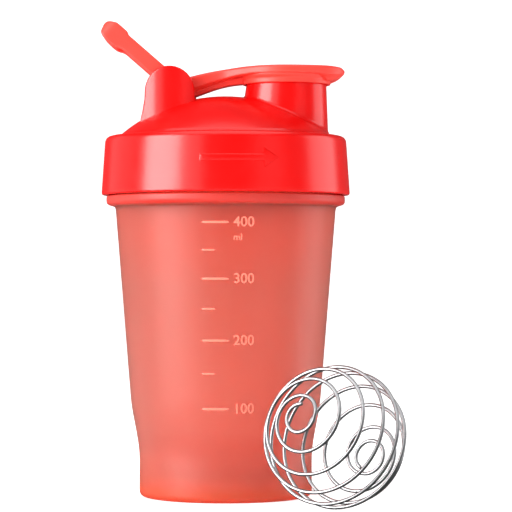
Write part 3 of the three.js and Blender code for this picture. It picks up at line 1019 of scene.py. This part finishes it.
def frosted_plastic():
    """Frosted translucent polypropylene: deeper where it is thick, at the base and the bead; its tint also
    carries painted light near the foot and under the lid.
    """
    s = Shader("frosted_coral_plastic")
    up = s.share(s.height(), cup_low.z, cup_high.z)
    # only the bead under the lid is wider than the thread's crest
    bead = s.share(s.radius(), (CUP_THREAD_CREST + 0.1) * MM, (CUP_THREAD_CREST + 1.0) * MM)
    # painted light: a little above the floor the tint is lightened to even out a dark band, and towards the
    # top it turns redder with its red lifted to offset the shade that the lid casts
    tint_with_painted_light = s.ramp(up, [
        (0.0, linear(236, 62, 12)),
        (0.025, linear(240, 90, 44)),
        (0.07, linear(238, 124, 102)),
        (0.20, linear(241, 152, 136)),
        (0.60, linear(234, 142, 124)),
        (0.80, linear(248, 130, 108)),
        (1.0, linear(246, 128, 106)),
    ])
    # thick stretches let less light through
    clear = s.ramp(up, [
        (0.0, (0.50, 0.50, 0.50)),
        (0.07, (0.74, 0.74, 0.74)),
        (0.16, (0.88, 0.88, 0.88)),
    ])
    tint_with_painted_light = s.mix(bead, tint_with_painted_light, linear(206, 20, 2))
    clear = s.mix(bead, clear, (0.20, 0.20, 0.20))
    s.link(clear, s.principled.inputs["Transmission Weight"])
    cloud = s.stretch(s.noise(28.0, 3.0), 0.0, 0.14)
    colour = s.mix(cloud, tint_with_painted_light, linear(244, 176, 160))
    s.link(colour, s.principled.inputs["Base Color"])
    s.link(s.stretch(s.noise(90.0, 4.0), 0.40, 0.50), s.principled.inputs["Roughness"])
    s.bump((s.noise(45.0, 2.0), 0.12, 0.5), (s.noise(5200.0, 2.0), 0.35, 0.05))
    s.set(Subsurface_Weight=0.5, Subsurface_Scale=0.004, IOR=1.49)
    s.principled.inputs["Subsurface Radius"].default_value = (1.0, 0.34, 0.24)
    return s.material


def moulded_plastic(name, deep, pale, rough, grain_strength):
    """Solid moulded plastic with faint mottling, fine grain and slow waviness."""
    s = Shader(name)
    mottle = s.stretch(s.noise(45.0, 3.0), 0.2, 0.8)
    s.link(s.mix(mottle, deep, pale), s.principled.inputs["Base Color"])
    s.link(s.stretch(s.noise(220.0, 4.0), rough - 0.04, rough + 0.05), s.principled.inputs["Roughness"])
    s.bump((s.noise(38.0, 2.0), 0.06, 0.6), (s.noise(1600.0, 1.0), grain_strength, 0.03))
    s.set(IOR=1.49)
    return s.material


def drawn_steel(name, rough):
    """Polished drawn wire with fine lines and slight tarnish, its base colour kept darker than bare steel as
    painted shade.
    """
    s = Shader(name)
    tarnish = s.stretch(s.noise(400.0, 4.0, 0.6), 0.0, 1.0)
    # painted shade: both greys are darker than bare steel to dim the wire's reflections; the noise between
    # them is random tarnish
    s.link(s.mix(tarnish, (0.30, 0.30, 0.31), (0.46, 0.46, 0.47)), s.principled.inputs["Base Color"])
    s.link(s.stretch(s.noise(900.0, 3.0), rough - 0.06, rough + 0.08), s.principled.inputs["Roughness"])
    s.bump((s.noise(2600.0, 3.0), 0.15, 0.02))
    s.set(Metallic=1.0)
    return s.material


def silicone():
    """Soft warm grey silicone, slightly uneven in tone."""
    s = Shader("seal_silicone")
    tone = s.mix(s.stretch(s.noise(150.0, 4.0), 0.0, 1.0), (0.52, 0.50, 0.47), (0.64, 0.62, 0.58))
    s.link(tone, s.principled.inputs["Base Color"])
    s.link(s.stretch(s.noise(300.0, 3.0), 0.55, 0.7), s.principled.inputs["Roughness"])
    s.bump((s.noise(1800.0, 3.0), 0.2, 0.05))
    return s.material


def studio_white():
    """The pale floor and backdrop, lit a little from within so that it reads as a light table."""
    s = Shader("studio_white")
    tone = s.mix(s.stretch(s.noise(3.0, 2.0), 0.0, 1.0), (0.86, 0.86, 0.86), (0.90, 0.90, 0.90))
    s.link(tone, s.principled.inputs["Base Color"])
    s.set(Roughness=0.9, Emission_Color=(1.0, 1.0, 1.0, 1.0), Emission_Strength=0.60)
    return s.material


# ---------------------------------------------------------------- stage, light and camera

def make_stage():
    """A floor that curves up into a backdrop."""
    corner = 0.6
    back = 2.2
    profile = [(-2.5, 0.0), (back - corner, 0.0)]
    profile += arc(back - corner, corner, corner, -90, 0, 16)[1:]
    profile.append((back, 3.0))
    verts = []
    for x in (-3.0, 3.0):
        verts += [(x / MM, y / MM, (z - 0.00002) / MM) for y, z in profile]
    count = len(profile)
    faces = [[k, k + 1, count + k + 1, count + k] for k in range(count - 1)]
    stage = new_object("studio_floor", verts, faces, 180.0)
    stage.data.materials.append(studio_white())
    stage.visible_glossy = False


def soft_light(name, place, target, width, height, power):
    """A plain white box light; returned so that its reflection can be switched off."""
    light = bpy.data.lights.new(name, "AREA")
    light.shape = "RECTANGLE"
    light.size = width
    light.size_y = height
    light.energy = power
    obj = bpy.data.objects.new(name, light)
    obj.location = place
    obj.rotation_euler = (Vector(target) - Vector(place)).to_track_quat("-Z", "Y").to_euler()
    bpy.context.scene.collection.objects.link(obj)
    return obj


def make_lights():
    """Soft boxes around the bottle: place, target, width, height and watts."""
    middle = (0.0, 0.0, 0.09)
    soft_light("overhead_box", (0.0, -0.4, 1.5), middle, 2.2, 1.8, 20.0)
    soft_light("left_box", (-0.79, -0.45, 0.16), middle, 0.58, 0.9, 17.0)
    soft_light("front_left_box", (-0.52, -0.80, 0.16), middle, 0.40, 0.9, 1.6)
    soft_light("back_left_box", (-0.88, 0.40, 0.16), middle, 0.70, 0.9, 1.1)
    soft_light("right_box", (0.88, 0.20, 0.16), middle, 0.62, 0.9, 3.8)
    # brightens the cup's right side without a highlight of its own
    fill = soft_light("right_fill", (0.80, -0.90, 0.20), middle, 0.60, 0.9, 4.0)
    fill.visible_glossy = False
    world = bpy.data.worlds.new("studio_world")
    world.use_nodes = True
    world.node_tree.nodes["Background"].inputs["Color"].default_value = (1.0, 1.0, 1.0, 1.0)
    world.node_tree.nodes["Background"].inputs["Strength"].default_value = 0.10
    bpy.context.scene.world = world


def make_camera():
    """A long lens at about half the height of the bottle, tilted up by half a degree."""
    camera = bpy.data.cameras.new("camera")
    camera.sensor_width = 36.0
    camera.lens = 160.5
    camera.clip_start = 0.05
    camera.clip_end = 20.0
    obj = bpy.data.objects.new("camera", camera)
    obj.location = (0.0116, -0.876, 0.0842)
    obj.rotation_euler = (math.radians(90.5), 0.0, 0.0)
    bpy.context.scene.collection.objects.link(obj)
    bpy.context.scene.camera = obj


# ---------------------------------------------------------------- assembly

def place(piece, body, slot, material, node=None):
    """Gives a piece its material and body, and lets it stand for a CAD node if one is named."""
    piece.data.materials.clear()
    piece.data.materials.append(material)
    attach(piece, body)
    if node:
        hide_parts(node)


def refinish(node, material):
    """A better material on a CAD node that is shown as it is."""
    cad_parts[node].data.materials.clear()
    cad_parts[node].data.materials.append(material)


make_camera()
make_stage()
make_lights()

red = moulded_plastic("gloss_red_plastic", linear(220, 2, 2), linear(230, 10, 8), 0.24, 0.08)
coral = moulded_plastic("satin_coral_plastic", linear(236, 52, 40), linear(243, 70, 58), 0.42, 0.16)
mark = moulded_plastic("scale_plastic", linear(242, 120, 100), linear(246, 130, 110), 0.32, 0.12)

place(make_cup(), "cup", "cup_plastic", frosted_plastic(), "cup")
place(make_scale(), "cup", "cup_plastic", mark)
place(make_lid(), "lid", "lid_plastic", red, "lid")
place(make_arrow(), "lid", "lid_plastic", red)
place(make_flip_cap(), "flip_cap", "cap_plastic", coral, "flip_cap")
place(make_carry_loop(), "carry_loop", "cap_plastic", coral, "carry_loop")
place(make_whisk_ball(), "whisk_ball", "ball_steel", drawn_steel("polished_wire", 0.34), "whisk_ball")
refinish("hinge_pin", drawn_steel("pin_steel", 0.32))
refinish("lid_seal", silicone())

bpy.context.scene.view_settings.view_transform = "Standard"
